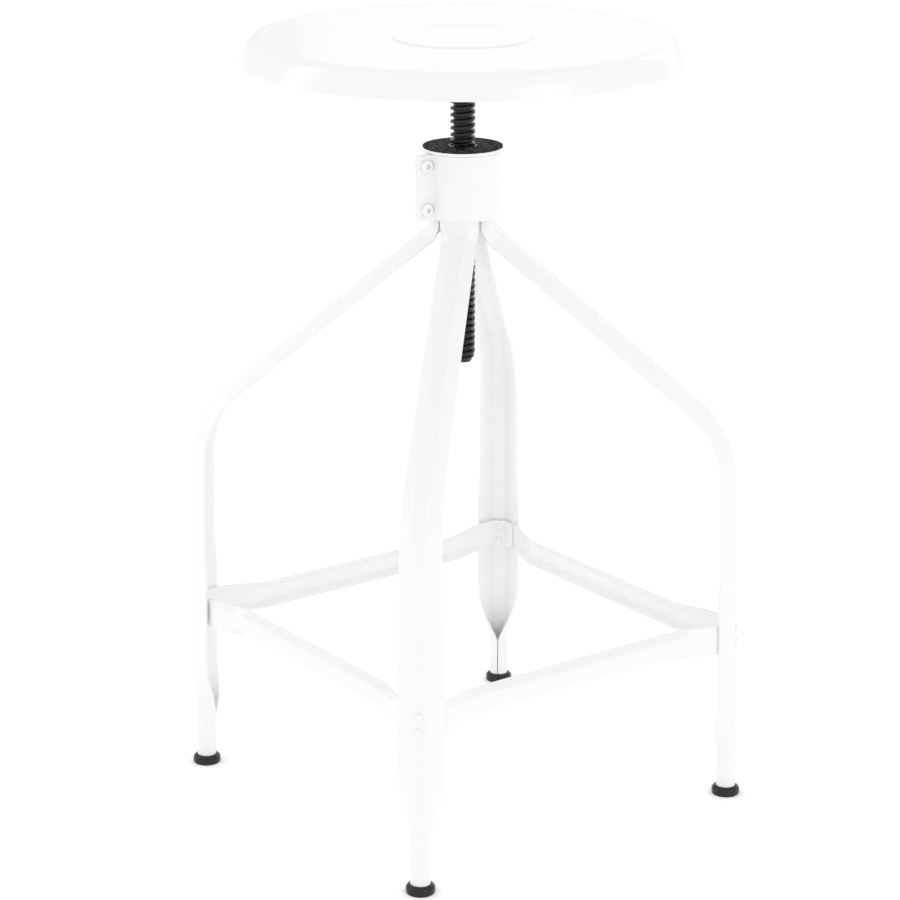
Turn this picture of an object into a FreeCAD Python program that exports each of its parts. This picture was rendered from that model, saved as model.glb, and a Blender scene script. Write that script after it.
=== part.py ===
import FreeCAD, Part
import math
import os

# Machinist stool: a pressed steel seat on a lifting screw, over four pressed
# channel legs that are clamped at the top and tied by four riveted rails.
# Millimetres. The floor is z = 0, the lifting screw is the Z axis, and the
# clamp's ears point to -Y.

V = FreeCAD.Vector

# Seat pressing
seat_diameter = 360.0
seat_skirt_drop = 20.0
seat_skirt_angle = 65.0
seat_shoulder_radius = 9.0
seat_sheet = 1.6
seat_rim_width = 9.0
seat_rim_fall = 3.4
seat_rim_fall_width = 3.6
seat_dish_rise = 1.6
seat_recess_diameter = 111.0
seat_recess_depth = 3.0

# Seat mounting under the pressing
mount_plate_diameter = 96.0
mount_plate_thickness = 3.0
boss_diameter = 38.0
boss_length = 16.0
buffer_diameter = 34.0
buffer_thickness = 4.0
seat_joint_gap = 0.3

# Lifting screw. The rest lift is how far the seat stands above its lowest height.
screw_diameter = 20.3
screw_length = 258.4
seat_rest_lift = 56.8
screw_tip_height = 6.0
screw_tip_inset = 3.4
screw_running_clearance = 0.05

# Hub, cover disc and clamp band
clamp_bottom = 499.6
clamp_height = 53.1
hub_inset = 1.4
hub_flange_thickness = 2.6
hub_chamfer = 1.2
cover_thickness = 0.8
cover_bore_clearance = 1.6
clamp_wall = 4.0
clamp_fit = 0.1
clamp_end_gap = 0.2
clamp_slit = 0.3
ear_length = 13.3
ear_thickness = 2.75
ear_fillet = 5.0
ear_corner = 1.0
clamp_screw_edge = 7.2
clamp_screw_inset = 8.6
clamp_screw_size = 6.0
clamp_screw_head = 10.5
clamp_screw_head_height = 3.3
clamp_screw_head_bevel = 1.8
clamp_screw_key = 4.0
clamp_screw_key_depth = 2.2
clamp_screw_spot = 12.4
clamp_nut_width = 10.0
clamp_nut_height = 4.4
clamp_nut_dome = 2.6
clamp_nut_shoulder = 0.8
clamp_hole_clearance = 0.15

# Pressed channel legs. Reaches are measured from the axis to the outer face.
leg_sheet = 2.0
neck_reach = 28.6
shoulder_drop = 11.1
arm_slope = 40.0
post_reach = 229.6
foot_splay = 6.2
splay_growth = 1.6
neck_bend_radius = 13.0
elbow_bend_radius = 85.0
land_above_rail = 27.0
land_below_rail = 33.0
closing_gap = 18.0
closing_length = 52.0
closing_growth = 1.6
tube_diameter = 16.8
tube_seam = 0.5

# Tie rails
rail_sheet = 1.5
rail_height = 145.0
rail_inset = 9.55
rail_flare_length = 46.0
rail_flare_end = 11.0
rail_flare_growth = 0.7
rail_tab_bend_radius = 5.0
rail_tip_length = 12.0
rail_tip_round = 4.0
rail_fit = 0.08

# Rivets
rivet_spacing = 12.8
rivet_diameter = 3.6
rivet_head = 6.6
rivet_head_height = 1.5
rivet_hole_clearance = 0.03

# Foot glides
glide_diameter = 23.7
glide_lip_diameter = 19.4
glide_height = 10.0
glide_floor = 4.0
glide_side_height = 5.6
glide_edge = 1.0
glide_plug_height = 24.0
glide_fit = 0.08

# A pressed strip's half profile, from the middle of its web to its free edge:
# half the web, angle reached by a bowed web, corner length, wall angle, wall length.
neck_profile = (11.5, 24.0, 5.6, 78.0, 4.0)
arm_profile = (4.2, 0.0, 2.3, 50.0, 12.3)
elbow_profile = (4.8, 0.0, 2.3, 46.0, 13.9)
post_profile = (5.0, 0.0, 2.4, 45.0, 13.6)
land_profile = (5.3, 0.0, 2.4, 45.0, 15.9)
rail_profile = (5.3, 0.0, 1.9, 48.0, 6.9)
tab_profile = (5.3, 0.0, 1.9, 0.0, 5.0)
tab_tip_profile = (5.3, 0.0, 1.9, 0.0, 1.0)

# Where a leg's sections lie along each stretch of it, as shares of that stretch.
neck_bend_shares = (0.3, 0.66)
arm_shares = (0.0, 0.5, 1.0)
arm_growth = 0.3
elbow_bend_shares = (0.2, 0.4, 0.6, 0.8)
post_shares = ((0.14, 0.6), (0.37, 1.0))
widening_shares = (0.0, 0.5, 1.0)
land_widening = 43.0
closing_shares = (0.0, 0.25, 0.5, 0.75, 1.0)

# Where a rail's sections lie along its flare, from the tab to the straight run.
rail_flare_shares = (0.0, 0.15, 0.35, 0.6, 0.8, 1.0)
rail_tip_shares = (0.0, 0.3, 1.0)
rail_bend_shares = (1.0, 0.5, 0.0)

strip_steps = 24
line_tolerance = 0.2

# Sizes that follow
seat_radius = seat_diameter / 2
clamp_bore_radius = neck_reach + clamp_fit
clamp_radius = clamp_bore_radius + clamp_wall
clamp_top = clamp_bottom + clamp_height
ear_reach = clamp_radius + ear_length
clamp_screw_reach = ear_reach - clamp_screw_edge
hub_bottom = clamp_bottom + hub_inset
hub_flange_bottom = clamp_top + clamp_end_gap
hub_flange_top = hub_flange_bottom + hub_flange_thickness
cover_top = hub_flange_top + cover_thickness
screw_bore_radius = screw_diameter / 2 + screw_running_clearance
buffer_bottom = cover_top + seat_rest_lift
boss_bottom = buffer_bottom + buffer_thickness + seat_joint_gap
mount_plate_bottom = boss_bottom + boss_length
mount_plate_top = mount_plate_bottom + mount_plate_thickness
screw_bottom = mount_plate_bottom - screw_length
recess_height = mount_plate_top + seat_sheet
seat_rim_height = recess_height + seat_recess_depth + seat_dish_rise + seat_rim_fall
shoulder_height = clamp_bottom - shoulder_drop
elbow_height = shoulder_height - math.tan(math.radians(arm_slope)) * (post_reach - neck_reach)
land_top = rail_height + land_above_rail
land_bottom = rail_height - land_below_rail
closing_top = land_bottom - closing_gap
closing_bottom = closing_top - closing_length
tab_half_height = tab_profile[0] + tab_profile[2] + tab_profile[4]
tube_radius = tube_diameter / 2
tube_axis_reach = post_reach + foot_splay - tube_radius
eighth_turn = math.radians(45)


def save(name, shape):
    """Write one sub-part as parts/NAME.step."""
    shape.exportStep("parts/" + name + ".step")


def turned(shape, degrees):
    """A copy turned about the stool's axis."""
    copy = shape.copy()
    copy.rotate(V(0, 0, 0), V(0, 0, 1), degrees)
    return copy


def rounded_path(corners, radii):
    """Straight runs through the corners, with an arc of the given radius at each inner one.

    A corner with no radius stays sharp."""
    edges = []
    start = corners[0]
    for here, before, after, radius in zip(corners[1:-1], corners, corners[2:], radii):
        if not radius:
            edges.append(Part.LineSegment(start, here).toShape())
            start = here
            continue
        back = (before - here).normalize()
        ahead = (after - here).normalize()
        half_angle = back.getAngle(ahead) / 2
        reach = radius / math.tan(half_angle)
        centre = here + (back + ahead).normalize() * (radius / math.sin(half_angle))
        arc_start = here + back * reach
        arc_end = here + ahead * reach
        arc_middle = centre + (here - centre).normalize() * radius
        edges.append(Part.LineSegment(start, arc_start).toShape())
        edges.append(Part.Arc(arc_start, arc_middle, arc_end).toShape())
        start = arc_end
    edges.append(Part.LineSegment(start, corners[-1]).toShape())
    return Part.Wire(edges)


def revolved(outline):
    """A solid of revolution about Z from (radius, height) corners."""
    points = [V(radius, 0, height) for radius, height in outline]
    face = Part.Face(Part.makePolygon(points + points[:1]))
    return face.revolve(V(0, 0, 0), V(0, 0, 1), 360)


def blend(first, second, share):
    """A half profile part way from the first to the second."""
    return tuple(a + (b - a) * share for a, b in zip(first, second))


def smooth(share):
    """An S-shaped rise from 0 to 1."""
    return share * share * (3 - 2 * share)


def strip_section(profile, sheet, closing=0.0):
    """Outer and inner points (across, inward) of a pressed strip, edge to edge.

    Each side has five stretches: wall, corner, web, corner, wall, with a point at
    both ends and the middle of each. closing runs from 0, the open channel, to 1,
    a round tube with a seam."""
    web, bow, corner, wall_angle, wall = profile
    bow = math.radians(bow)
    wall_angle = math.radians(wall_angle)
    open_length = web + corner + wall
    middle_radius = tube_radius - sheet / 2
    tube_length = math.pi * middle_radius - tube_seam / 2
    stretch = 1 + (tube_length / open_length - 1) * closing

    def heading(distance):
        if distance <= web:
            channel = bow * distance / web
        elif distance < web + corner:
            channel = bow + (wall_angle - bow) * (distance - web) / corner
        else:
            channel = wall_angle
        return (1 - closing) * channel + closing * distance * stretch / middle_radius

    breaks = [0.0, web, web + corner / 2, web + corner, web + corner + wall / 2, open_length]
    across, inward = 0.0, sheet / 2
    track = [(across, inward, 0.0)]
    for before, after in zip(breaks, breaks[1:]):
        step = (after - before) / strip_steps
        for count in range(strip_steps):
            turn = heading(before + (count + 0.5) * step)
            across += math.cos(turn) * step * stretch
            inward += math.sin(turn) * step * stretch
        track.append((across, inward, heading(after)))
    track = [(-a, b, -turn) for a, b, turn in reversed(track[1:])] + track
    half = sheet / 2
    outer = [(a + half * math.sin(turn), b - half * math.cos(turn)) for a, b, turn in track]
    inner = [(a - half * math.sin(turn), b + half * math.cos(turn)) for a, b, turn in track]
    return outer, inner


def stretch_edge(start, middle, end):
    """An arc through three points, or a line where they lie in line."""
    if middle.distanceToLine(start, end - start) < line_tolerance:
        return Part.LineSegment(start, end).toShape()
    return Part.Arc(start, middle, end).toShape()


def strip_wire(section, origin, across_axis, inward_axis):
    """A strip's section as a closed wire, placed in space."""
    sides = [[origin + across_axis * a + inward_axis * b for a, b in side] for side in section]
    outer, inner = sides[0], sides[1][::-1]
    edges = []
    for side, other in ((outer, inner), (inner, outer)):
        for first in range(0, len(side) - 2, 2):
            edges.append(stretch_edge(side[first], side[first + 1], side[first + 2]))
        edges.append(Part.LineSegment(side[-1], other[0]).toShape())
    return Part.Wire(edges)


def leg_face_reach(height):
    """Reach of the post's outer face: it leans out a little towards the foot."""
    share = (elbow_height - height) / (elbow_height - closing_bottom)
    return post_reach + foot_splay * min(max(share, 0.0), 1.0) ** splay_growth


def leg_stations():
    """(reach, height, heading below the horizontal, profile, closing) down the outer face."""
    turn = 90 - arm_slope
    slope = math.radians(arm_slope)
    half_turn = math.radians(turn / 2)
    neck_tangent = neck_bend_radius * math.tan(half_turn)
    elbow_tangent = elbow_bend_radius * math.tan(half_turn)
    downhill = V(math.cos(slope), 0, -math.sin(slope))
    bend_top = shoulder_height + neck_tangent
    post_top = elbow_height - elbow_tangent

    stations = [
        (neck_reach, clamp_top - clamp_end_gap, 90.0, neck_profile, 0.0),
        (neck_reach, bend_top, 90.0, neck_profile, 0.0),
    ]
    for share in neck_bend_shares:
        angle = share * math.radians(turn)
        reach = neck_reach + neck_bend_radius * (1 - math.cos(angle))
        height = bend_top - neck_bend_radius * math.sin(angle)
        profile = blend(neck_profile, arm_profile, smooth(share))
        stations.append((reach, height, 90 - share * turn, profile, 0.0))
    arm_start = V(neck_reach, 0, shoulder_height) + downhill * neck_tangent
    arm_end = V(post_reach, 0, elbow_height) - downhill * elbow_tangent
    for share in arm_shares:
        point = arm_start + (arm_end - arm_start) * share
        profile = blend(arm_profile, elbow_profile, arm_growth * smooth(share))
        stations.append((point.x, point.z, arm_slope, profile, 0.0))
    for share in elbow_bend_shares:
        angle = slope + share * math.radians(turn)
        reach = post_reach - elbow_bend_radius * (1 - math.sin(angle))
        height = post_top + elbow_bend_radius * math.cos(angle)
        profile = blend(arm_profile, elbow_profile, arm_growth + (1 - arm_growth) * share)
        stations.append((reach, height, math.degrees(angle), profile, 0.0))

    down = [(post_top, elbow_profile, 0.0)]
    for share, change in post_shares:
        profile = blend(elbow_profile, post_profile, change)
        down.append((post_top + (land_top - post_top) * share, profile, 0.0))
    for share in widening_shares:
        height = land_top + land_widening * (1 - share)
        down.append((height, blend(post_profile, land_profile, smooth(share)), 0.0))
    down.append((land_bottom, land_profile, 0.0))
    for share in closing_shares:
        height = closing_top + (closing_bottom - closing_top) * share
        down.append((height, land_profile, share ** closing_growth))
    down.append((glide_floor + glide_fit, land_profile, 1.0))
    for height, profile, closing in down:
        stations.append((leg_face_reach(height), height, 90.0, profile, closing))
    return stations


def make_leg():
    """One pressed channel leg along +X, before its rivet holes."""
    wires = []
    for reach, height, heading, profile, closing in leg_stations():
        angle = math.radians(heading)
        inward = V(-math.sin(angle), 0, -math.cos(angle))
        section = strip_section(profile, leg_sheet, closing)
        wires.append(strip_wire(section, V(reach, 0, height), V(0, 1, 0), inward))
    return Part.makeLoft(wires, True, True)


def land_wall_offset(height):
    """Distance from the stool's middle plane to the inner face of a leg's side wall."""
    outer, inner = strip_section(land_profile, leg_sheet)
    across, inward = inner[-1]
    return (leg_face_reach(height) - inward + across) * math.cos(eighth_turn)


def tab_reach(layer):
    """Reach along the leg's diagonal of a rail tab's outer face.

    Layer 0 lies on the leg's web, and layer 1 lies on the neighbouring rail's tab."""
    web_reach = leg_face_reach(rail_height + tab_half_height) - leg_sheet - rail_fit
    return web_reach - layer * (rail_sheet + rail_fit)


def run_offset(layer):
    """Distance from the stool's middle plane to a rail's outer face along a leg's side wall."""
    wall_offset = land_wall_offset(rail_height + tab_half_height) - rail_fit
    return wall_offset - layer * (rail_sheet + rail_fit)


def rail_half(layer):
    """Stations (point, turn, profile) of half a rail, from its tip to the straight run.

    The tip lies on one side wall of the leg, the tab on its web, and the run on its other wall."""
    out = run_offset(layer)
    corner = tab_reach(layer) / math.cos(eighth_turn) - out
    tangent = rail_tab_bend_radius * math.tan(eighth_turn / 2)
    stations = []
    for share in rail_tip_shares:
        point = V(out, corner - rail_tip_length + rail_tip_round * share, 0)
        round_share = math.sqrt(1 - (1 - share) ** 2)
        stations.append((point, 2 * eighth_turn, blend(tab_tip_profile, tab_profile, round_share)))
    tip_bend = V(out - rail_tab_bend_radius, corner - tangent, 0)
    run_bend = V(corner - tangent, out - rail_tab_bend_radius, 0)
    for centre, first_turn in ((tip_bend, eighth_turn), (run_bend, 0.0)):
        for share in rail_bend_shares:
            turn = first_turn + eighth_turn * share
            point = centre + V(math.sin(turn), math.cos(turn), 0) * rail_tab_bend_radius
            stations.append((point, turn, tab_profile))
    flare_end = corner - tangent - rail_flare_end
    for share in rail_flare_shares:
        along = flare_end - rail_flare_length * share
        inset = (out - run_offset(0) + rail_inset) * smooth(share)
        profile = blend(tab_profile, rail_profile, share ** rail_flare_growth)
        stations.append((V(along, out - inset, 0), 0.0, profile))
    return stations


def make_rail():
    """The rail on the +Y side, before its rivet holes."""
    left = [(V(-point.x, point.y, 0), -turn, profile) for point, turn, profile in rail_half(0)]
    wires = []
    for point, turn, profile in left + rail_half(1)[::-1]:
        inward = V(-math.sin(turn), -math.cos(turn), 0)
        section = strip_section(profile, rail_sheet)
        wires.append(strip_wire(section, point + V(0, 0, rail_height), V(0, 0, 1), inward))
    return Part.makeLoft(wires, True, True)


def rivet_heights():
    return (rail_height + rivet_spacing / 2, rail_height - rivet_spacing / 2)


def make_rivet(height):
    """A rivet along +X through the leg's web and both rail tabs, with a bevelled head at each end."""
    head = rivet_head / 2
    outer = leg_face_reach(height - head)
    inner = tab_reach(1) - rail_sheet - rail_fit
    crown = head - rivet_head_height
    shank = rivet_diameter / 2
    outline = [
        (inner - rivet_head_height, 0), (inner - rivet_head_height, crown), (inner, head), (inner, shank),
        (outer, shank), (outer, head), (outer + rivet_head_height, crown), (outer + rivet_head_height, 0),
    ]
    points = [V(reach, 0, height + radius) for reach, radius in outline]
    face = Part.Face(Part.makePolygon(points + points[:1]))
    return face.revolve(V(0, 0, height), V(1, 0, 0), 360)


def rivet_holes(angle):
    """Cutters for one leg's rivet holes."""
    radius = rivet_diameter / 2 + rivet_hole_clearance
    length = 4 * leg_sheet + 4 * rail_sheet
    cutters = []
    for height in rivet_heights():
        start = V(leg_face_reach(height) - length + leg_sheet, 0, height)
        cutters.append(turned(Part.makeCylinder(radius, length, start, V(1, 0, 0)), angle))
    return cutters


def make_glide():
    """A moulded glide under the tube at +X: a plug, a socket and a round sole."""
    sole = glide_diameter / 2
    lip = glide_lip_diameter / 2
    socket = tube_radius + glide_fit
    plug = tube_radius - leg_sheet - glide_fit
    outline = [
        (0, 0), (sole - glide_edge, 0), (sole, glide_edge), (sole, glide_side_height),
        (lip, glide_height), (socket, glide_height), (socket, glide_floor),
        (plug, glide_floor), (plug, glide_plug_height), (0, glide_plug_height),
    ]
    glide = revolved(outline)
    glide.translate(V(tube_axis_reach, 0, 0))
    return glide


def make_hub():
    """The screwed hub that the leg necks are clamped on, with a flange over the clamp."""
    outer, inner = strip_section(neck_profile, leg_sheet)
    across, inward = inner[-1]
    body = math.hypot(neck_reach - inward, across) - clamp_fit
    outline = [
        (screw_bore_radius, hub_bottom), (body - hub_chamfer, hub_bottom),
        (body, hub_bottom + hub_chamfer), (body, hub_flange_bottom),
        (clamp_radius, hub_flange_bottom), (clamp_radius, hub_flange_top),
        (screw_bore_radius, hub_flange_top),
    ]
    return revolved(outline)


def make_cover_disc():
    """The thin disc on the hub's flange, with a countersunk hole for the screw."""
    bore = screw_bore_radius + cover_bore_clearance
    outline = [
        (bore, hub_flange_top), (clamp_radius, hub_flange_top), (clamp_radius, cover_top),
        (bore + cover_thickness, cover_top),
    ]
    return revolved(outline)


def clamp_screw_heights():
    return (clamp_top - clamp_screw_inset, clamp_bottom + clamp_screw_inset)


def make_clamp_band():
    """The split ring round the leg necks, with two ears and spot faces for its screws."""
    ring = Part.makeCylinder(clamp_radius, clamp_height, V(0, 0, clamp_bottom))
    fillet_x = ear_thickness + ear_fillet
    fillet_y = -math.sqrt((clamp_radius + ear_fillet) ** 2 - fillet_x ** 2)
    share = clamp_radius / (clamp_radius + ear_fillet)
    touch = V(fillet_x * share, fillet_y * share, 0)
    centre = V(fillet_x, fillet_y, 0)
    middle = (touch + V(ear_thickness, fillet_y, 0)) * 0.5
    arc_middle = centre + (middle - centre).normalize() * ear_fillet
    tip = -ear_reach
    right = [
        Part.LineSegment(V(0, 0, 0), touch).toShape(),
        Part.Arc(touch, arc_middle, V(ear_thickness, fillet_y, 0)).toShape(),
    ]
    corner_middle = V(ear_thickness, tip, 0) + V(-1, 1, 0) * ear_corner * (1 - math.cos(eighth_turn))
    right += [
        Part.LineSegment(V(ear_thickness, fillet_y, 0), V(ear_thickness, tip + ear_corner, 0)).toShape(),
        Part.Arc(V(ear_thickness, tip + ear_corner, 0), corner_middle,
                 V(ear_thickness - ear_corner, tip, 0)).toShape(),
        Part.LineSegment(V(ear_thickness - ear_corner, tip, 0), V(0, tip, 0)).toShape(),
        Part.LineSegment(V(0, tip, 0), V(0, 0, 0)).toShape(),
    ]
    ear = Part.Face(Part.Wire(right)).extrude(V(0, 0, clamp_height))
    ear.translate(V(0, 0, clamp_bottom))
    band = ring.multiFuse([ear, ear.mirror(V(0, 0, 0), V(1, 0, 0))])
    cutters = [Part.makeCylinder(clamp_bore_radius, clamp_height, V(0, 0, clamp_bottom))]
    slit_corner = V(-clamp_slit / 2, -ear_reach, clamp_bottom)
    cutters.append(Part.makeBox(clamp_slit, ear_reach, clamp_height, slit_corner))
    hole = clamp_screw_size / 2 + clamp_hole_clearance
    for screw_height in clamp_screw_heights():
        centre = V(0, -clamp_screw_reach, screw_height)
        start = centre - V(2 * ear_thickness, 0, 0)
        cutters.append(Part.makeCylinder(hole, 4 * ear_thickness, start, V(1, 0, 0)))
        for side in (-1, 1):
            start = centre + V(side * ear_thickness, 0, 0)
            cutters.append(Part.makeCylinder(clamp_screw_spot / 2, clamp_radius, start, V(side, 0, 0)))
    return band.cut(cutters).removeSplitter()


def make_clamp_screw(height):
    """A button-head socket screw along X through the ears, with its head on +X."""
    centre = V(0, -clamp_screw_reach, height)
    face = centre + V(ear_thickness, 0, 0)
    crown = clamp_screw_head / 2 - clamp_screw_head_bevel
    head = Part.makeCone(clamp_screw_head / 2, crown, clamp_screw_head_height, face, V(1, 0, 0))
    shank_length = 2 * ear_thickness + clamp_nut_height
    shank = Part.makeCylinder(clamp_screw_size / 2, shank_length, face, V(-1, 0, 0))
    key = hexagon(clamp_screw_key, clamp_screw_key_depth)
    key.translate(face + V(clamp_screw_head_height - clamp_screw_key_depth, 0, 0))
    return head.fuse(shank).cut(key).removeSplitter()


def hexagon(width, length):
    """A hexagonal prism along +X from the origin, by its width across flats."""
    corner = width / 2 / math.cos(math.radians(30))
    points = []
    for count in range(7):
        angle = math.radians(60 * count)
        points.append(V(0, corner * math.cos(angle), corner * math.sin(angle)))
    return Part.Face(Part.makePolygon(points)).extrude(V(length, 0, 0))


def make_clamp_nut(height):
    """A crowned nut on the clamp's -X side."""
    centre = V(-ear_thickness, -clamp_screw_reach, height)
    base = hexagon(clamp_nut_width, clamp_nut_height)
    base.rotate(V(0, 0, 0), V(0, 0, 1), 180)
    base.translate(centre)
    crown_base = centre - V(clamp_nut_height, 0, 0)
    crown_radius = clamp_nut_width / 2 - clamp_nut_shoulder
    crown_top = crown_radius - clamp_nut_dome
    crown = Part.makeCone(crown_radius, crown_top, clamp_nut_dome, crown_base, V(-1, 0, 0))
    bore_radius = clamp_screw_size / 2 + clamp_fit
    bore = Part.makeCylinder(bore_radius, clamp_nut_height + clamp_fit, centre, V(-1, 0, 0))
    return base.fuse(crown).cut(bore).removeSplitter()


def make_screw():
    """The lifting screw's rod, with a tapered lower tip; its thread runs inside this size."""
    radius = screw_diameter / 2
    tip = radius - screw_tip_inset
    outline = [
        (0, screw_bottom), (tip, screw_bottom), (radius, screw_bottom + screw_tip_height),
        (radius, mount_plate_bottom), (0, mount_plate_bottom),
    ]
    return revolved(outline)


def make_boss():
    """The collar that holds the screw's head under the mount plate."""
    bore = screw_bore_radius
    radius = boss_diameter / 2
    outline = [
        (bore, boss_bottom), (radius - hub_chamfer, boss_bottom), (radius, boss_bottom + hub_chamfer),
        (radius, mount_plate_bottom), (bore, mount_plate_bottom),
    ]
    return revolved(outline)


def make_buffer():
    """The rubber ring under the boss that meets the cover disc at the lowest seat height."""
    bore = screw_diameter / 2 + seat_joint_gap
    radius = buffer_diameter / 2
    top = buffer_bottom + buffer_thickness
    outline = [(bore, buffer_bottom), (radius, buffer_bottom), (radius, top), (bore, top)]
    return revolved(outline)


def make_mount_plate():
    radius = mount_plate_diameter / 2
    return Part.makeCylinder(radius, mount_plate_thickness, V(0, 0, mount_plate_bottom))


def make_seat_pan():
    """The seat pressing: a turned-down skirt, a crowned rim, a shallow dish and a round recess."""
    skirt_run = seat_skirt_drop / math.tan(math.radians(seat_skirt_angle))
    shoulder = seat_radius - skirt_run
    crest = shoulder - seat_rim_width
    recess_edge = seat_recess_diameter / 2
    skirt_foot = V(seat_radius, 0, seat_rim_height - seat_skirt_drop)
    centre = V(0, 0, recess_height)
    corners = [
        skirt_foot,
        V(shoulder, 0, seat_rim_height),
        V(crest, 0, seat_rim_height),
        V(crest - seat_rim_fall_width, 0, seat_rim_height - seat_rim_fall),
        V(recess_edge, 0, recess_height + seat_recess_depth),
        V(recess_edge - seat_recess_depth, 0, recess_height),
        centre,
    ]
    radii = [seat_shoulder_radius, 0, 0, 0, 0]
    top = rounded_path(corners, radii)
    under = top.makeOffset2D(seat_sheet, 2, False, True, False)
    ends = sorted(under.Vertexes, key=lambda vertex: vertex.Point.x)
    hem = Part.LineSegment(skirt_foot, ends[-1].Point).toShape()
    core = Part.LineSegment(centre, ends[0].Point).toShape()
    outline = Part.Wire(Part.__sortEdges__(top.Edges + [core] + under.Edges + [hem]))
    return Part.Face(outline).revolve(V(0, 0, 0), V(0, 0, 1), 360)


os.makedirs("parts", exist_ok=True)

leg_angles = {"front_right": -45, "back_right": 45, "back_left": 135, "front_left": 225}
rail_angles = {"back": 0, "left": 90, "front": 180, "right": 270}

leg = make_leg().cut(rivet_holes(0))
glide = make_glide()
rivets = Part.makeCompound([make_rivet(height) for height in rivet_heights()])
for place, angle in leg_angles.items():
    save("leg_" + place, turned(leg, angle))
    save("foot_glide_" + place, turned(glide, angle))
    save("leg_rivets_" + place, turned(rivets, angle))

rail = make_rail().cut(rivet_holes(45) + rivet_holes(135))
for place, angle in rail_angles.items():
    save("rail_" + place, turned(rail, angle))

save("hub", make_hub())
save("hub_cover_disc", make_cover_disc())
save("clamp_band", make_clamp_band())
save("clamp_screws", Part.makeCompound([make_clamp_screw(height) for height in clamp_screw_heights()]))
save("clamp_nuts", Part.makeCompound([make_clamp_nut(height) for height in clamp_screw_heights()]))

save("seat_pan", make_seat_pan())
save("seat_mount_plate", make_mount_plate())
save("screw_boss", make_boss())
save("lifting_screw", make_screw())
save("seat_buffer", make_buffer())
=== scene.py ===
import math

import bmesh
import bpy
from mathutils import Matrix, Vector


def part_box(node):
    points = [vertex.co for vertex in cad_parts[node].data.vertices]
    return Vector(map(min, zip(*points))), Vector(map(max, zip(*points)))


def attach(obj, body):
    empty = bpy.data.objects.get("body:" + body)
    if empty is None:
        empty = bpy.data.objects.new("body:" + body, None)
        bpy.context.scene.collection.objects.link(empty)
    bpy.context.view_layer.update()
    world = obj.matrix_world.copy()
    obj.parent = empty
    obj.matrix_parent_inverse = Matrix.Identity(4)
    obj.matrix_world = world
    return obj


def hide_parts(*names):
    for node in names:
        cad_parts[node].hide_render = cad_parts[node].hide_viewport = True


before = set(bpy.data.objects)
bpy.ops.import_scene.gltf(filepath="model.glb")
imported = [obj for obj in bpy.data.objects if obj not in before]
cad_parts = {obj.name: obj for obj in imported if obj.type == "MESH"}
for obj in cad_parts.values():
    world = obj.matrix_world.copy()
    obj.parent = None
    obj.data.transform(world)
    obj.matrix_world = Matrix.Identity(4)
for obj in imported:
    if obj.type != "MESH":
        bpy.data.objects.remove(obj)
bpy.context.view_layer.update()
print("frame loaded:", len(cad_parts), "nodes")


# a shader value that takes part in sums, so masks read as plain arithmetic
class Signal:
    def __init__(self, maker, socket):
        self.maker = maker
        self.socket = socket

    def sum(self, operation, *values):
        return self.maker.add("ShaderNodeMath", {"operation": operation}, dict(enumerate(values)))

    def __add__(self, other):
        return self.sum("ADD", self, other)

    def __radd__(self, other):
        return self.sum("ADD", other, self)

    def __sub__(self, other):
        return self.sum("SUBTRACT", self, other)

    def __rsub__(self, other):
        return self.sum("SUBTRACT", other, self)

    def __mul__(self, other):
        return self.sum("MULTIPLY", self, other)

    def __rmul__(self, other):
        return self.sum("MULTIPLY", other, self)

    def __gt__(self, other):
        return self.sum("GREATER_THAN", self, other)


class Finish:
    def __init__(self, name):
        self.material = bpy.data.materials.new(name)
        self.material.use_nodes = True
        self.tree = self.material.node_tree
        self.shader = self.tree.nodes["Principled BSDF"]

    def add(self, kind, settings, inputs, output=0):
        node = self.tree.nodes.new(kind)
        for key, value in settings.items():
            setattr(node, key, value)
        for key, value in inputs.items():
            self.feed(node.inputs[key], value)
        return Signal(self, node.outputs[output])

    def feed(self, socket, value):
        if isinstance(value, Signal):
            self.tree.links.new(value.socket, socket)
        else:
            socket.default_value = value

    def set(self, **values):
        for key, value in values.items():
            self.feed(self.shader.inputs[key.replace("_", " ")], value)

    def place(self):
        return self.add("ShaderNodeTexCoord", {}, {}, "Object")

    def noise(self, scale, detail=3.0, roughness=0.5):
        return self.add("ShaderNodeTexNoise", {}, {
            "Vector": self.place(), "Scale": scale, "Detail": detail, "Roughness": roughness,
        }, "Fac")

    def mix(self, factor, first, second):
        values = {0: factor, 6: first, 7: second}
        return self.add("ShaderNodeMix", {"data_type": "RGBA"}, values, 2)

    def bump(self, height, strength, distance):
        normal = self.add("ShaderNodeBump", {}, {
            "Height": height, "Strength": strength, "Distance": distance,
        }, "Normal")
        self.set(Normal=normal)


camera = {
    "place": (1.8735, -1.3853, 1.03345),
    "turn": (72.464, 0.01, 53.518),
    "focalPixels": 2916.7,
    "framePixels": 900.0,
    "opticalAxis": (462.8, 449.7),
    "sensorWidth": 36.0,
    "nearAndFar": (0.05, 50),
}


def addCamera():
    size = camera["framePixels"]
    axisX, axisY = camera["opticalAxis"]
    bpy.ops.object.camera_add(location=camera["place"])
    view = bpy.context.object
    view.rotation_euler = [math.radians(angle) for angle in camera["turn"]]
    view.data.sensor_width = camera["sensorWidth"]
    view.data.lens = camera["focalPixels"] * camera["sensorWidth"] / size
    view.data.shift_x = (size / 2 - axisX) / size
    view.data.shift_y = (axisY - size / 2) / size
    view.data.clip_start, view.data.clip_end = camera["nearAndFar"]
    bpy.context.scene.camera = view


addCamera()
print("camera placed")

studio = {
    "sky": (1.0, 1.0, 1.0, 1),
    "skyStrength": 0.92,
    "floorColour": (0.95, 0.95, 0.95, 1),
    "floorRoughness": 0.9,
    "floorGlow": 0.15,
    "floorSize": 24.0,
}
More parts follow.
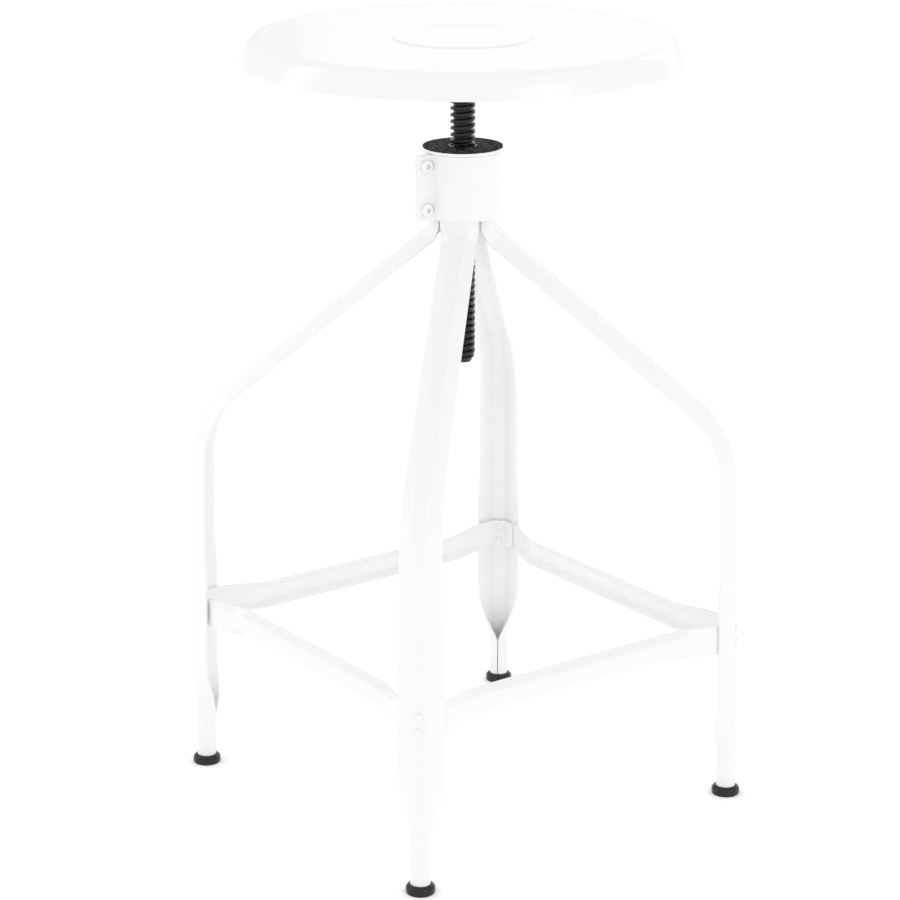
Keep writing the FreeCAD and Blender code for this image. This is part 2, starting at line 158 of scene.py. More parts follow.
# place, point aimed at, width and height, power
softboxes = {
    "overhead": ((-0.3, -0.6, 3.4), (0, 0, 0.3), (3.0, 3.0), 3.0),
    "leftStrip": ((-1.9, -2.2, 1.5), (0, 0, 0.4), (0.6, 2.2), 7.0),
    "rightStrip": ((-0.5, 2.9, 1.6), (0, 0, 0.4), (0.22, 2.2), 3.0),
    "frontPanel": ((3.2, 0.3, 1.6), (0, 0, 0.4), (1.6, 1.6), 7.5),
    "backPanel": ((-1.686, 2.761, 1.95), (-0.882, 2.167, 1.95), (3.0, 2.0), 3.2),
}


def addSky():
    world = bpy.data.worlds.new("studioSky")
    bpy.context.scene.world = world
    world.use_nodes = True
    back = world.node_tree.nodes["Background"]
    back.inputs["Color"].default_value = studio["sky"]
    back.inputs["Strength"].default_value = studio["skyStrength"]


def addSoftbox(name, place, aim, size, power):
    bpy.ops.object.light_add(type="AREA", location=place)
    light = bpy.context.object
    light.name = name
    light.data.shape = "RECTANGLE"
    light.data.size, light.data.size_y = size
    light.data.energy = power
    light.rotation_euler = (Vector(aim) - Vector(place)).to_track_quat("-Z", "Y").to_euler()


def addFloor():
    bpy.ops.mesh.primitive_plane_add(size=studio["floorSize"])
    floor = bpy.context.object
    floor.name = "floor"
    finish = Finish("paleFloor")
    colour = studio["floorColour"]
    finish.set(Base_Color=colour, Roughness=studio["floorRoughness"], Specular_IOR_Level=0.0,
               Emission_Color=colour, Emission_Strength=studio["floorGlow"])
    floor.data.materials.append(finish.material)


addSky()
for softbox, values in softboxes.items():
    addSoftbox(softbox, *values)
addFloor()
bpy.context.scene.view_settings.view_transform = "Standard"
print("studio set")

# in each finish: noises as scale, detail and roughness, surface roughness as its least
# value and its spread, coat as weight and roughness, bump as strength and depth
powder = {
    "colours": ((0.90, 0.90, 0.901, 1), (0.922, 0.922, 0.922, 1)),
    "cloud": (9.0, 4.0),
    "peel": (420.0, 2.0),
    "roughness": (0.22, 0.06),
    "coat": (0.5, 0.06),
    "bump": (0.05, 0.0002),
}


def powderCoat():
    finish = Finish("whitePowderCoat")
    cloud = finish.noise(*powder["cloud"])
    peel = finish.noise(*powder["peel"])
    least, spread = powder["roughness"]
    weight, coatRoughness = powder["coat"]
    finish.set(Base_Color=finish.mix(cloud, *powder["colours"]), Roughness=cloud * spread + least,
               Coat_Weight=weight, Coat_Roughness=coatRoughness)
    finish.bump(peel, *powder["bump"])
    return finish.material


enamel = {
    "colours": ((0.004, 0.004, 0.004, 1), (0.009, 0.009, 0.009, 1)),
    "smear": (60.0, 4.0),
    "grain": (700.0, 2.0),
    "roughness": (0.16, 0.12),
    "coat": (0.1, 0.06),
    "specular": 0.36,
    "bump": (0.12, 0.0001),
}


def blackEnamel():
    finish = Finish("blackEnamel")
    smear = finish.noise(*enamel["smear"])
    least, spread = enamel["roughness"]
    weight, coatRoughness = enamel["coat"]
    finish.set(Base_Color=finish.mix(smear, *enamel["colours"]), Roughness=smear * spread + least,
               Coat_Weight=weight, Coat_Roughness=coatRoughness,
               Specular_IOR_Level=enamel["specular"])
    finish.bump(finish.noise(*enamel["grain"]), *enamel["bump"])
    return finish.material


speckle = {
    "colours": ((0.003, 0.003, 0.003, 1), (0.13, 0.13, 0.13, 1)),
    "grain": (520.0, 2.0, 0.6),
    "threshold": 0.55,
    "fleckStrength": 0.8,
    "roughness": (0.7, 0.2),
    "specular": 0.08,
    "bump": (0.35, 0.0003),
}


def speckledBlack():
    finish = Finish("speckledBlack")
    grain = finish.noise(*speckle["grain"])
    fleck = grain > speckle["threshold"]
    colour = finish.mix(fleck * speckle["fleckStrength"], *speckle["colours"])
    least, spread = speckle["roughness"]
    finish.set(Base_Color=colour, Roughness=least + fleck * spread,
               Specular_IOR_Level=speckle["specular"])
    finish.bump(grain, *speckle["bump"])
    return finish.material


moulding = {
    "colours": ((0.006, 0.006, 0.006, 1), (0.012, 0.012, 0.012, 1)),
    "cloud": (40.0, 3.0),
    "grain": (900.0, 2.0),
    "roughness": (0.22, 0.10),
    "specular": 0.4,
    "bump": (0.15, 0.0001),
}


def mouldedBlack():
    finish = Finish("mouldedBlack")
    grain = finish.noise(*moulding["grain"])
    colour = finish.mix(finish.noise(*moulding["cloud"]), *moulding["colours"])
    least, spread = moulding["roughness"]
    finish.set(Base_Color=colour, Roughness=least + grain * spread,
               Specular_IOR_Level=moulding["specular"])
    finish.bump(grain, *moulding["bump"])
    return finish.material


finishes = {
    "white": powderCoat(),
    "enamel": blackEnamel(),
    "speckle": speckledBlack(),
    "moulded": mouldedBlack(),
}
print("finishes made")

# what all pieces share, in metres, degrees and counts
making = {
    "merge": 0.000002,
    "seedRadius": 0.01,
    "latheSides": 96,
    "edgeSegments": 2,
    "sheetEdge": 60.0,
    "turnedEdge": 50.0,
}
# faces that meet at less than this are shaded as one
smoothAngles = {
    "pressed": 40.0,
    "turned": 35.0,
    "rivets": 50.0,
    "seat": 45.0,
    "thread": 38.0,
}


def deselect():
    if bpy.context.object and bpy.context.object.mode != "OBJECT":
        bpy.ops.object.mode_set(mode="OBJECT")
    bpy.ops.object.select_all(action="DESELECT")


def activate(piece):
    deselect()
    piece.select_set(True)
    bpy.context.view_layer.objects.active = piece


def finishPiece(piece, finish, body, nodeNames, smoothAngle=smoothAngles["pressed"]):
    activate(piece)
    bpy.ops.object.shade_smooth_by_angle(angle=math.radians(smoothAngle))
    piece.data.materials.clear()
    piece.data.materials.append(finishes[finish])
    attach(piece, body)
    if nodeNames:
        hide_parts(*nodeNames)


def applyModifier(piece, kind, **settings):
    activate(piece)
    modifier = piece.modifiers.new(kind.lower(), kind)
    for key, value in settings.items():
        setattr(modifier, key, value)
    bpy.ops.object.modifier_apply(modifier=modifier.name)


def roundEdges(piece, width, angle=making["turnedEdge"]):
    applyModifier(piece, "BEVEL", width=width, segments=making["edgeSegments"],
                  limit_method="ANGLE", angle_limit=math.radians(angle))


def tidyShell(piece):
    activate(piece)
    bpy.ops.object.mode_set(mode="EDIT")
    bpy.ops.mesh.select_all(action="SELECT")
    bpy.ops.mesh.remove_doubles(threshold=making["merge"])
    bpy.ops.mesh.dissolve_degenerate(threshold=making["merge"])
    bpy.ops.mesh.select_all(action="SELECT")
    bpy.ops.mesh.normals_make_consistent(inside=False)
    bpy.ops.object.mode_set(mode="OBJECT")


def copyTurned(piece, name, degrees):
    other = piece.copy()
    other.data = piece.data.copy()
    other.name = name
    bpy.context.collection.objects.link(other)
    activate(other)
    other.rotation_euler = (0, 0, math.radians(degrees))
    bpy.ops.object.transform_apply(rotation=True)
    return other


def between(first, last, share):
    return first + (last - first) * share


def part(first, second, share):
    return [between(a, b, share) for a, b in zip(first, second)]


def easeInOut(share):
    return share * share * (3 - 2 * share)


def shares(count):
    return [step / count for step in range(count + 1)]


# a rolled line of corners: each inner corner gets an arc of its own radius
def roundedLine(corners, radii, steps):
    line = [Vector(corners[0])]
    for before, here, after, radius in zip(corners, corners[1:], corners[2:], radii):
        here = Vector(here)
        back = (Vector(before) - here).normalized()
        ahead = (Vector(after) - here).normalized()
        halfAngle = back.angle(ahead) / 2
        centre = here + (back + ahead).normalized() * (radius / math.sin(halfAngle))
        reach = radius / math.tan(halfAngle)
        first = here + back * reach - centre
        last = here + ahead * reach - centre
        for share in shares(steps):
            line.append(centre + first.slerp(last, share).normalized() * radius)
    line.append(Vector(corners[-1]))
    return line


# pressed strips: a sheet whose section bends along its length, then gets its thickness
strip = {
    "webSteps": 3,
    "cornerSteps": 5,
    "wallSteps": 8,
    "fineSteps": 6,
    "edgeRound": 0.00035,
}


# half a section is bent step by step from the middle of its web, then mirrored; as it
# closes, its bends even out into a tube with a seam
def stripSection(profile, sheet, closing=0.0):
    web, bow, corner, wallAngle, wall = profile
    bow, wallAngle = math.radians(bow), math.radians(wallAngle)
    length = web + corner + wall
    middle = leg["tubeRadius"] - sheet / 2
    stretch = 1 + ((math.pi * middle - leg["seam"] / 2) / length - 1) * closing

    def heading(distance):
        channel = bow * distance / web if distance < web else wallAngle
        if web <= distance < web + corner:
            channel = bow + (wallAngle - bow) * (distance - web) / corner
        return (1 - closing) * channel + closing * distance * stretch / middle

    stops = [web * share for share in shares(strip["webSteps"])]
    stops += [web + corner * share for share in shares(strip["cornerSteps"])[1:]]
    stops += [web + corner + wall * share for share in shares(strip["wallSteps"])[1:]]
    across, inward = 0.0, sheet / 2
    half = [(across, inward)]
    for before, after in zip(stops, stops[1:]):
        step = (after - before) / strip["fineSteps"]
        for count in range(strip["fineSteps"]):
            turn = heading(before + (count + 0.5) * step)
            across += math.cos(turn) * step * stretch
            inward += math.sin(turn) * step * stretch
        half.append((across, inward))
    return [(-a, b) for a, b in half[:0:-1]] + half


def pressedStrip(name, rings, sheet):
    rows, columns = len(rings), len(rings[0])
    deselect()
    bpy.ops.mesh.primitive_grid_add(x_subdivisions=columns - 1, y_subdivisions=rows - 1, size=1)
    piece = bpy.context.object
    piece.name = name
    for vert in piece.data.vertices:
        row, column = divmod(vert.index, columns)
        vert.co = rings[row][column]
    applyModifier(piece, "SOLIDIFY", thickness=sheet, offset=0.0, use_even_offset=True,
                  use_quality_normals=True)
    tidyShell(piece)
    roundEdges(piece, strip["edgeRound"], making["sheetEdge"])
    return piece


leg = {
    "sheet": 0.002,
    "neckReach": 0.0286,
    "neckTop": 0.5525,
    "shoulderHeight": 0.4885,
    "slope": 40.0,
    "postReach": 0.2296,
    "footSplay": 0.0062,
    "splayGrowth": 1.6,
    "neckBend": 0.013,
    "elbowBend": 0.085,
    "landTop": 0.172,
    "landBottom": 0.112,
    "landWidening": 0.043,
    "closingTop": 0.094,
    "closingBottom": 0.042,
    "closingGrowth": 1.6,
    "tubeRadius": 0.0084,
    "seam": 0.0005,
    "foot": 0.00408,
    # half web, bow of the web, corner, wall angle, wall
    "neck": (0.0115, 24.0, 0.0056, 78.0, 0.004),
    "arm": (0.0042, 0.0, 0.0023, 50.0, 0.0123),
    "elbow": (0.0048, 0.0, 0.0023, 46.0, 0.0139),
    "post": (0.005, 0.0, 0.0024, 45.0, 0.0136),
    "land": (0.0053, 0.0, 0.0024, 45.0, 0.0159),
    "armGrowth": 0.3,
    "steps": {"neck": 4, "neckBend": 8, "arm": 12, "elbow": 16, "post": 7,
              "widening": 8, "land": 5, "closing": 20, "tube": 3},
}
turnOver = 90.0 - leg["slope"]
elbowHeight = leg["shoulderHeight"] - math.tan(math.radians(leg["slope"])) * (
    leg["postReach"] - leg["neckReach"])
elbowTangent = leg["elbowBend"] * math.tan(math.radians(turnOver / 2))
neckTangent = leg["neckBend"] * math.tan(math.radians(turnOver / 2))
postTop = elbowHeight - elbowTangent


def legFace(height):
    share = (elbowHeight - height) / (elbowHeight - leg["closingBottom"])
    return leg["postReach"] + leg["footSplay"] * min(max(share, 0), 1) ** leg["splayGrowth"]


# down the leg's outer face: reach, height, heading below the horizontal, profile, closing
def legStations():
    steps = leg["steps"]
    slope, turn = math.radians(leg["slope"]), math.radians(turnOver)
    neckBendTop = leg["shoulderHeight"] + neckTangent
    stations = []
    for share in shares(steps["neck"]):
        height = between(leg["neckTop"], neckBendTop, share)
        stations.append((leg["neckReach"], height, 90.0, leg["neck"], 0.0))
    for share in shares(steps["neckBend"])[1:-1]:
        angle = share * turn
        reach = leg["neckReach"] + leg["neckBend"] * (1 - math.cos(angle))
        height = neckBendTop - leg["neckBend"] * math.sin(angle)
        profile = part(leg["neck"], leg["arm"], easeInOut(share))
        stations.append((reach, height, 90 - share * turnOver, profile, 0.0))
    downhill = Vector((math.cos(slope), 0, -math.sin(slope)))
    armStart = Vector((leg["neckReach"], 0, leg["shoulderHeight"])) + downhill * neckTangent
    armEnd = Vector((leg["postReach"], 0, elbowHeight)) - downhill * elbowTangent
    for share in shares(steps["arm"]):
        point = armStart.lerp(armEnd, share)
        profile = part(leg["arm"], leg["elbow"], leg["armGrowth"] * easeInOut(share))
        stations.append((point.x, point.z, leg["slope"], profile, 0.0))
    for share in shares(steps["elbow"])[1:-1]:
        angle = slope + share * turn
        reach = leg["postReach"] - leg["elbowBend"] * (1 - math.sin(angle))
        height = postTop + leg["elbowBend"] * math.cos(angle)
        profile = part(leg["arm"], leg["elbow"], between(leg["armGrowth"], 1, share))
        stations.append((reach, height, math.degrees(angle), profile, 0.0))
    down = []
    wideningTop = leg["landTop"] + leg["landWidening"]
    for share in shares(steps["post"]):
        profile = part(leg["elbow"], leg["post"], easeInOut(share))
        down.append((between(postTop, wideningTop, share), profile, 0.0))
    for share in shares(steps["widening"])[1:]:
        profile = part(leg["post"], leg["land"], easeInOut(share))
        down.append((wideningTop - leg["landWidening"] * share, profile, 0.0))
    for share in shares(steps["land"])[1:]:
        down.append((between(leg["landTop"], leg["landBottom"], share), leg["land"], 0.0))
    for share in shares(steps["closing"]):
        height = between(leg["closingTop"], leg["closingBottom"], share)
        down.append((height, leg["land"], share ** leg["closingGrowth"]))
    for share in shares(steps["tube"])[1:]:
        down.append((between(leg["closingBottom"], leg["foot"], share), leg["land"], 1.0))
    for height, profile, closing in down:
        stations.append((legFace(height), height, 90.0, profile, closing))
    return stations


def pressedLeg():
    rings = []
    for reach, height, heading, profile, closing in legStations():
        angle = math.radians(heading)
        inward = Vector((-math.sin(angle), 0, -math.cos(angle)))
        section = stripSection(profile, leg["sheet"], closing)
        rings.append([Vector((reach, a, height)) + inward * b for a, b in section])
    return pressedStrip("legPattern", rings, leg["sheet"])


rail = {
    "sheet": 0.0015,
    "height": 0.145,
    "inset": 0.00955,
    "flareLength": 0.046,
    "flareEnd": 0.011,
    "flareGrowth": 0.7,
    "bend": 0.005,
    "tipLength": 0.012,
    "tipRound": 0.005,
    "fit": 0.00008,
    "straight": (0.0053, 0.0, 0.0019, 48.0, 0.0069),
    "tab": (0.0053, 0.0, 0.0019, 0.0, 0.005),
    "tip": (0.0053, 0.0, 0.0019, 0.0, 0.0),
    "steps": {"tip": 7, "bend": 5, "flare": 20},
}
eighthTurn = math.radians(45)


def tabTop():
    return rail["height"] + sum(rail["tab"][index] for index in (0, 2, 4))


def tabReach(layer):
    return legFace(tabTop()) - leg["sheet"] - rail["fit"] - layer * (rail["sheet"] + rail["fit"])


# distance from the middle plane of a rail's outer face along a leg's side wall
def runOffset(layer):
    wallEnd = stripSection(leg["land"], leg["sheet"])[-1]
    wallAngle = math.radians(leg["land"][3])
    across = wallEnd[0] - math.sin(wallAngle) * leg["sheet"] / 2
    inward = wallEnd[1] + math.cos(wallAngle) * leg["sheet"] / 2
    wallOffset = (legFace(tabTop()) - inward + across) * math.cos(eighthTurn) - rail["fit"]
    return wallOffset - layer * (rail["sheet"] + rail["fit"])


# half a rail: its tip on one side wall of the leg, its tab on the web, its run on the other wall
def railHalf(layer):
    steps = rail["steps"]
    out = runOffset(layer)
    corner = tabReach(layer) / math.cos(eighthTurn) - out
    tangent = rail["bend"] * math.tan(eighthTurn / 2)
    stations = []
    for share in shares(steps["tip"]):
        along = rail["tipRound"] * (1 - math.cos(share * math.pi / 2))
        point = Vector((out, corner - rail["tipLength"] + along, 0))
        profile = part(rail["tip"], rail["tab"], math.sin(share * math.pi / 2))
        stations.append((point, 2 * eighthTurn, profile))
    tipBend = Vector((out - rail["bend"], corner - tangent, 0))
    runBend = Vector((corner - tangent, out - rail["bend"], 0))
    for centre, firstTurn in ((tipBend, eighthTurn), (runBend, 0.0)):
        for share in shares(steps["bend"])[::-1]:
            turn = firstTurn + eighthTurn * share
            point = centre + Vector((math.sin(turn), math.cos(turn), 0)) * rail["bend"]
            stations.append((point, turn, rail["tab"]))
    flareEnd = corner - tangent - rail["flareEnd"]
    drop = out - runOffset(0) + rail["inset"]
    for share in shares(steps["flare"]):
        point = Vector((flareEnd - rail["flareLength"] * share, out - drop * easeInOut(share), 0))
        profile = part(rail["tab"], rail["straight"], share ** rail["flareGrowth"])
        stations.append((point, 0.0, profile))
    return stations


# the left end lies against the leg and the right end on the next rail's left end
def pressedRail():
    left = [(Vector((-point.x, point.y, 0)), -turn, profile)
            for point, turn, profile in railHalf(0)]
    rings = []
    for point, turn, profile in left + railHalf(1)[::-1]:
        inward = Vector((-math.sin(turn), -math.cos(turn), 0))
        section = stripSection(profile, rail["sheet"])
        rings.append([point + Vector((0, 0, rail["height"] + a)) + inward * b for a, b in section])
    return pressedStrip("railPattern", rings, rail["sheet"])


rivet = {
    "spacing": 0.0128,
    "headRadius": 0.0033,
    "headHeight": 0.0015,
    "shankRadius": 0.0018,
    "sides": 28,
    "domeSteps": 5,
}


# an outline becomes a ring of edges in the plane of X and Z, and stays in edit mode
def outlineRing(name, outline):
    deselect()
    bpy.ops.mesh.primitive_circle_add(vertices=len(outline), radius=making["seedRadius"])
    piece = bpy.context.object
    piece.name = name
    for vert, (radius, height) in zip(piece.data.vertices, outline):
        vert.co = (radius, 0, height)
    bpy.ops.object.mode_set(mode="EDIT")
    return piece


def spinRound(piece, sides):
    bpy.ops.mesh.select_all(action="SELECT")
    bpy.ops.mesh.spin(steps=sides, angle=math.tau, center=(0, 0, 0), axis=(0, 0, 1))
    bpy.ops.object.mode_set(mode="OBJECT")
    tidyShell(piece)


def lathe(name, outline, sides=making["latheSides"]):
    piece = outlineRing(name, outline)
    spinRound(piece, sides)
    return piece


# outline of a ring, or of a disc where the inner radius is nothing
def ringOutline(inner, outer, bottom, top):
    return [(inner, bottom), (outer, bottom), (outer, top), (inner, top)]


def layAlongX(piece, start):
    activate(piece)
    piece.rotation_euler = (0, math.pi / 2, 0)
    piece.location = start
    bpy.ops.object.transform_apply(location=True, rotation=True)


def domedRivet(height):
    head, rise, shank = rivet["headRadius"], rivet["headHeight"], rivet["shankRadius"]
    inner = tabReach(1) - rail["sheet"] - rail["fit"]
    grip = legFace(height - head) - inner
    turns = [share * math.pi / 2 for share in shares(rivet["domeSteps"])]
    dome = [(head * math.cos(turn), rise * math.sin(turn)) for turn in turns]
    low = [(radius, -bulge) for radius, bulge in dome[::-1]]
    high = [(radius, grip + bulge) for radius, bulge in dome]
    piece = lathe("rivetPattern", low + [(shank, 0), (shank, grip)] + high, rivet["sides"])
    layAlongX(piece, (inner, 0, height))
    return piece


def joined(name, pieces):
    deselect()
    for piece in pieces:
        piece.select_set(True)
    bpy.context.view_layer.objects.active = pieces[0]
    bpy.ops.object.join()
    pieces[0].name = name
    return pieces[0]


def rivetPair():
    offset = rivet["spacing"] / 2
    return joined("rivetPair", [domedRivet(rail["height"] + side * offset) for side in (1, -1)])


glide = {
    "radius": 0.01185,
    "lipRadius": 0.0091,
    "height": 0.0078,
    "soleInset": 0.0004,
    "soleRise": 0.0012,
    "sideHeight": 0.0052,
    "rounds": (0.0005, 0.0008, 0.0034, 0.0005),
    "roundSteps": 6,
    "floor": 0.004,
    "tubeRoom": 0.00008,
    "plugHeight": 0.024,
    "axisReach": 0.2274,
    "sides": 64,
}


def footGlide():
    socket = leg["tubeRadius"] + glide["tubeRoom"]
    plug = leg["tubeRadius"] - leg["sheet"] - glide["tubeRoom"]
    side, top, plugTop = glide["radius"], glide["height"], glide["plugHeight"]
    skin = roundedLine(
        [(0, 0), (side - glide["soleInset"], 0), (side, glide["soleRise"]),
         (side, glide["sideHeight"]), (glide["lipRadius"], top), (socket, top)],
        glide["rounds"], glide["roundSteps"])
    inside = [(socket, glide["floor"]), (plug, glide["floor"]), (plug, plugTop), (0, plugTop)]
    piece = lathe("glidePattern", skin + inside, glide["sides"])
    activate(piece)
    piece.location = (glide["axisReach"], 0, 0)
    bpy.ops.object.transform_apply(location=True)
    return piece


# the clamp's button head screws and domed nuts, laid across its two ears
clampScrew = {
    "reach": 0.0388,
    "heights": (0.5441, 0.5082),
    "ear": 0.00275,
    "shankRadius": 0.003,
    "shankPastEar": 0.0022,
    "headRadius": 0.00525,
    "headHeight": 0.0036,
    "headRound": 0.0013,
    "headSteps": 6,
    "keyWidth": 0.004,
    "keyDepth": 0.0022,
    "nutRadius": 0.0053,
    "nutHeight": 0.0068,
    "nutRound": 0.0036,
    "nutSteps": 8,
    "edgeRound": 0.0003,
    "threadRoom": 0.00002,
    "sides": 48,
}


def buttonScrew(height):
    ear, radius, shank = clampScrew["ear"], clampScrew["headRadius"], clampScrew["shankRadius"]
    top, tip = ear + clampScrew["headHeight"], -ear - clampScrew["shankPastEar"]
    skin = roundedLine([(shank, ear), (radius, ear), (radius, top), (0, top)],
                       (clampScrew["edgeRound"], clampScrew["headRound"]),
                       clampScrew["headSteps"])
    piece = lathe("clampScrew", [(0, tip), (shank, tip)] + skin, clampScrew["sides"])
    deselect()
    bpy.ops.mesh.primitive_cylinder_add(vertices=6, radius=clampScrew["keyWidth"] / math.sqrt(3),
                                        depth=2 * clampScrew["keyDepth"], location=(0, 0, top))
    key = bpy.context.object
    applyModifier(piece, "BOOLEAN", operation="DIFFERENCE", solver="EXACT", object=key)
    bpy.data.objects.remove(key)
    layAlongX(piece, (0, -clampScrew["reach"], height))
    return piece


def domedNut(height):
    ear, radius = clampScrew["ear"], clampScrew["nutRadius"]
    bore = clampScrew["shankRadius"] + clampScrew["threadRoom"]
    outer, boreEnd = -ear - clampScrew["nutHeight"], -ear - clampScrew["shankPastEar"]
    skin = roundedLine([(bore, -ear), (radius, -ear), (radius, outer), (0, outer)],
                       (clampScrew["edgeRound"], clampScrew["nutRound"]), clampScrew["nutSteps"])
    piece = lathe("clampNut", skin + [(0, boreEnd), (bore, boreEnd)], clampScrew["sides"])
    layAlongX(piece, (0, -clampScrew["reach"], height))
    return piece


clampSets = {"clamp_screws": buttonScrew, "clamp_nuts": domedNut}
for nodeName, maker in clampSets.items():
    pair = joined(nodeName + "_turned", [maker(height) for height in clampScrew["heights"]])
    finishPiece(pair, "white", "frame", [nodeName], smoothAngles["turned"])
print("clamp fasteners turned")

legAngles = {"front_right": -45, "back_right": 45, "back_left": 135, "front_left": 225}
railAngles = {"back": 0, "left": 90, "front": 180, "right": 270}
patterns = {
    "leg": (pressedLeg(), "leg_", "white", smoothAngles["pressed"]),
    "rivets": (rivetPair(), "leg_rivets_", "white", smoothAngles["rivets"]),
    "glide": (footGlide(), "foot_glide_", "moulded", smoothAngles["turned"]),
}
for kind, (pattern, nodeStart, finish, smoothAngle) in patterns.items():
    for place, angle in legAngles.items():
        piece = copyTurned(pattern, kind + "_" + place, angle)
        finishPiece(piece, finish, "frame", [nodeStart + place], smoothAngle)
    bpy.data.objects.remove(pattern)
railPattern = pressedRail()
for place, angle in railAngles.items():
    piece = copyTurned(railPattern, "rail_" + place + "_pressed", angle)
    finishPiece(piece, "white", "frame", ["rail_" + place])
bpy.data.objects.remove(railPattern)
print("legs, rails, rivets and glides pressed")

seat = {
    "radius": 0.18,
    "rimHeight": 0.646,
    "skirtDrop": 0.02,
    "skirtAngle": 65.0,
    "rimWidth": 0.009,
    "rimFall": 0.0003,
    "rimFallWidth": 0.001,
    "centreRadius": 0.057,
    "centreHeight": 0.6455,
    "centreStep": 0.0011,
    "centreSlope": 0.0007,
    "sheet": 0.0016,
    "edgeRound": 0.0005,
    "bendRadii": (0.009, 0.0009, 0.0009, 0.0004, 0.0008),
    "bendSteps": 6,
    "plateRadius": 0.048,
    "plateHeight": 0.003,
    "plateRound": 0.0004,
    "boreRoom": 0.0001,
    "sides": 192,
}


def seatPan():
    rim = seat["rimHeight"]
    shoulder = seat["radius"] - seat["skirtDrop"] / math.tan(math.radians(seat["skirtAngle"]))
    crest = shoulder - seat["rimWidth"]
    centre, brink = seat["centreHeight"], seat["centreRadius"]
    line = roundedLine(
        [(seat["radius"], rim - seat["skirtDrop"]), (shoulder, rim), (crest, rim),
         (crest - seat["rimFallWidth"], rim - seat["rimFall"]),
         (brink, centre - seat["centreStep"]), (brink - seat["centreSlope"], centre), (0, centre)],
        seat["bendRadii"], seat["bendSteps"])
    piece = outlineRing("seatPanPressed", line)
    mesh = bmesh.from_edit_mesh(piece.data)
    mesh.verts.ensure_lookup_table()
    closing = [edge for edge in mesh.verts[0].link_edges if mesh.verts[-1] in edge.verts]
    bmesh.ops.delete(mesh, geom=closing, context="EDGES")
    bmesh.update_edit_mesh(piece.data)
    spinRound(piece, seat["sides"])
    applyModifier(piece, "SOLIDIFY", thickness=seat["sheet"], offset=-1.0, use_even_offset=True)
    roundEdges(piece, seat["edgeRound"], making["sheetEdge"])
    finishPiece(piece, "white", "seat", ["seat_pan"], smoothAngles["seat"])


# the hidden plate lies under the pan's raised middle, and the boss joins it to the screw
def seatMount():
    low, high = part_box("screw_boss")
    plateTop = seat["centreHeight"] - seat["sheet"]
    plateBottom = plateTop - seat["plateHeight"]
    bore = thread["radius"] + seat["boreRoom"]
    plate = lathe("mountPlateTurned", ringOutline(0, seat["plateRadius"], plateBottom, plateTop))
    roundEdges(plate, seat["plateRound"])
    finishPiece(plate, "white", "seat", ["seat_mount_plate"], smoothAngles["turned"])
    boss = lathe("screwBossTurned", ringOutline(bore, high[0], low[2], plateBottom))
    roundEdges(boss, seat["plateRound"])
    finishPiece(boss, "enamel", "seat", ["screw_boss"], smoothAngles["turned"])


# CAD nodes that keep their own shape and only get a finish
carried = {
    "white": ("hub", "clamp_band"),
    "speckle": ("hub_cover_disc",),
    "moulded": ("seat_buffer",),
}
for finish, nodeNames in carried.items():
    for name in nodeNames:
        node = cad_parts[name]
        node.data.materials.clear()
        node.data.materials.append(finishes[finish])
print("carried nodes finished")

# the outline's crest stands past the radius, and the turned blank trims it back
thread = {
    "radius": 0.01015,
    "rootRadius": 0.0076,
    "pitch": 0.0054,
    "crestShare": 0.3,
    "flankShare": 0.18,
    "round": 0.0005,
    "roundSegments": 2,
    "tipHeight": 0.006,
    "tipInset": 0.0034,
    "phaseHeight": 0.5868,
    "phaseAzimuth": 233.5,
    "stepsPerTurn": 40,
    "spareTurns": 2,
    "endRoom": 0.000001,
    "tipBand": 0.0001,
}


# one pitch of the thread: half a root, a flank, the crest, a flank and half a root
def threadOutline():
    radius, root, pitch = thread["radius"], thread["rootRadius"], thread["pitch"]
    half = pitch / 2
    crest = thread["crestShare"] * pitch / 2
    flank = crest + thread["flankShare"] * pitch
    deselect()
    bpy.ops.mesh.primitive_plane_add(size=2 * crest, location=(radius, 0, 0),
                                     rotation=(math.pi / 2, 0, 0))
    piece = bpy.context.object
    piece.name = "liftingScrewThread"
    bpy.ops.object.transform_apply(location=True, rotation=True)
    bpy.ops.object.mode_set(mode="EDIT")
    mesh = bmesh.from_edit_mesh(piece.data)
    inner = [vert for vert in mesh.verts if vert.co.x < radius]
    bmesh.ops.delete(mesh, geom=inner, context="VERTS")
    for side in (-1, 1):
        for height in (side * flank, side * half):
            for vert in mesh.verts:
                vert.select = False
            end = max(mesh.verts, key=lambda vert: side * vert.co.z)
            end.select = True
            bmesh.update_edit_mesh(piece.data)
            move = Vector((root, 0, height)) - end.co
            bpy.ops.mesh.extrude_vertices_move(TRANSFORM_OT_translate={"value": move})
            mesh = bmesh.from_edit_mesh(piece.data)
    for vert in mesh.verts:
        vert.select = abs(abs(vert.co.z) - half) > thread["endRoom"]
    mesh.select_flush_mode()
    bmesh.update_edit_mesh(piece.data)
    bpy.ops.mesh.bevel(offset=thread["round"], segments=thread["roundSegments"], affect="VERTICES")
    bpy.ops.object.mode_set(mode="OBJECT")
    return piece


def cutToLength(piece, bottom, top):
    bpy.ops.object.mode_set(mode="EDIT")
    bpy.ops.mesh.select_all(action="SELECT")
    bpy.ops.mesh.remove_doubles(threshold=making["merge"])
    for height, outer, inner in ((bottom, False, True), (top, True, False)):
        bpy.ops.mesh.select_all(action="SELECT")
        bpy.ops.mesh.bisect(plane_co=(0, 0, height), plane_no=(0, 0, 1), use_fill=True,
                            clear_inner=inner, clear_outer=outer)
    bpy.ops.mesh.select_all(action="SELECT")
    bpy.ops.mesh.normals_make_consistent(inside=False)
    bpy.ops.object.mode_set(mode="OBJECT")


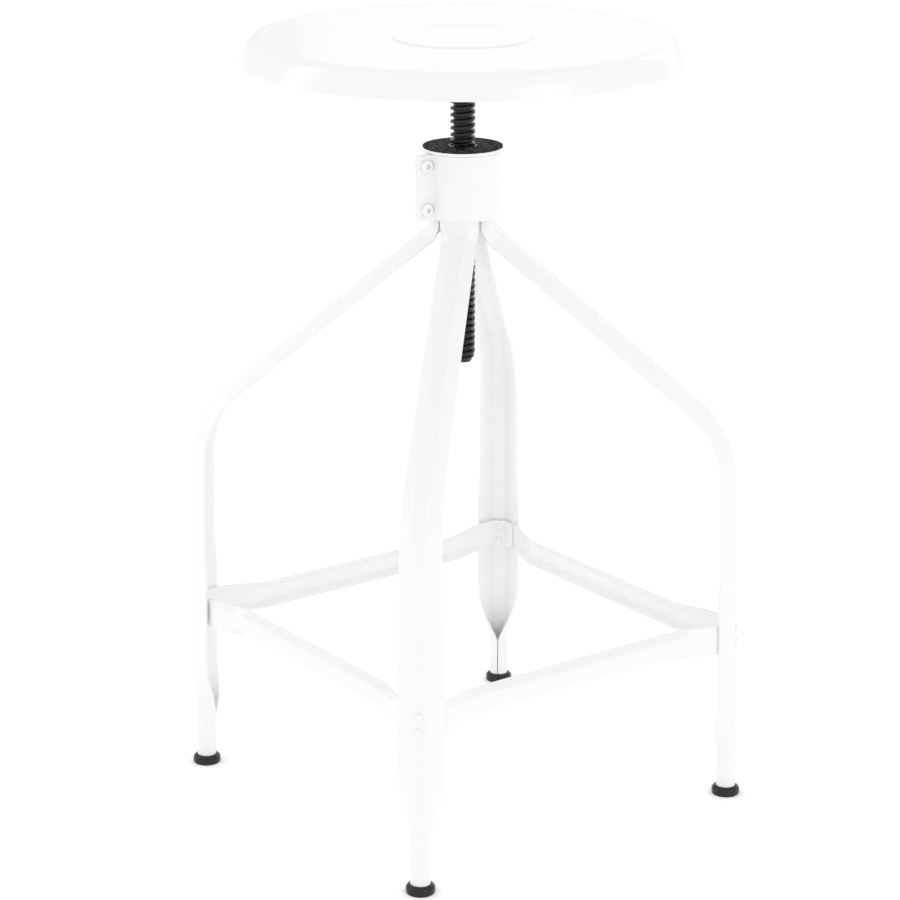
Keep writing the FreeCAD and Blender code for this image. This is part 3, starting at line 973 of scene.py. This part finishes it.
# a plain rod with a tapered lower end
def screwBlank(bottom, top):
    radius = thread["radius"]
    deselect()
    bpy.ops.mesh.primitive_cylinder_add(vertices=making["latheSides"], radius=radius,
                                        depth=top - bottom, location=(0, 0, (top + bottom) / 2))
    blank = bpy.context.object
    bpy.ops.object.transform_apply(location=True)
    bpy.ops.object.mode_set(mode="EDIT")
    bpy.ops.mesh.select_all(action="SELECT")
    bpy.ops.mesh.bisect(plane_co=(0, 0, bottom + thread["tipHeight"]), plane_no=(0, 0, 1))
    mesh = bmesh.from_edit_mesh(blank.data)
    for vert in mesh.verts:
        vert.select = vert.co.z < bottom + thread["tipBand"]
    mesh.select_flush_mode()
    bmesh.update_edit_mesh(blank.data)
    share = (radius - thread["tipInset"]) / radius
    bpy.ops.transform.resize(value=(share, share, 1), center_override=(0, 0, bottom))
    bpy.ops.object.mode_set(mode="OBJECT")
    return blank


def liftingScrew():
    low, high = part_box("lifting_screw")
    bottom, top, pitch = low[2], high[2], thread["pitch"]
    start = bottom - thread["spareTurns"] * pitch
    piece = threadOutline()
    drop = (thread["phaseHeight"] - start) % pitch
    bpy.ops.transform.translate(value=(0, 0, start + drop))
    bpy.ops.object.transform_apply(location=True)
    turns = math.ceil((top - bottom) / pitch) + 2 * thread["spareTurns"]
    applyModifier(piece, "SCREW", axis="Z", screw_offset=pitch, iterations=turns,
                  steps=thread["stepsPerTurn"], render_steps=thread["stepsPerTurn"],
                  use_merge_vertices=True, merge_threshold=making["merge"])
    piece.rotation_euler = (0, 0, math.radians(thread["phaseAzimuth"]))
    bpy.ops.object.transform_apply(rotation=True)
    cutToLength(piece, bottom, top)
    blank = screwBlank(bottom, top)
    applyModifier(piece, "BOOLEAN", operation="INTERSECT", solver="EXACT", object=blank)
    bpy.data.objects.remove(blank)
    bpy.ops.object.shade_smooth_by_angle(angle=math.radians(smoothAngles["thread"]))
    piece.data.materials.clear()
    piece.data.materials.append(finishes["enamel"])
    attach(piece, "seat")
    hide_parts("lifting_screw")


# the dark bush that guides the screw through the cover disc
bush = {
    "radius": 0.0118,
    "rise": 0.0002,
    "screwRoom": 0.0003,
    "round": 0.0004,
}


def screwBush():
    low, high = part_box("hub_cover_disc")
    bore, top = thread["radius"] + bush["screwRoom"], high[2] + bush["rise"]
    piece = lathe("screwBush", ringOutline(bore, bush["radius"], low[2], top))
    roundEdges(piece, bush["round"])
    finishPiece(piece, "enamel", "frame", [])


seatPan()
seatMount()
liftingScrew()
screwBush()
print("seat pressed, lifting screw threaded")
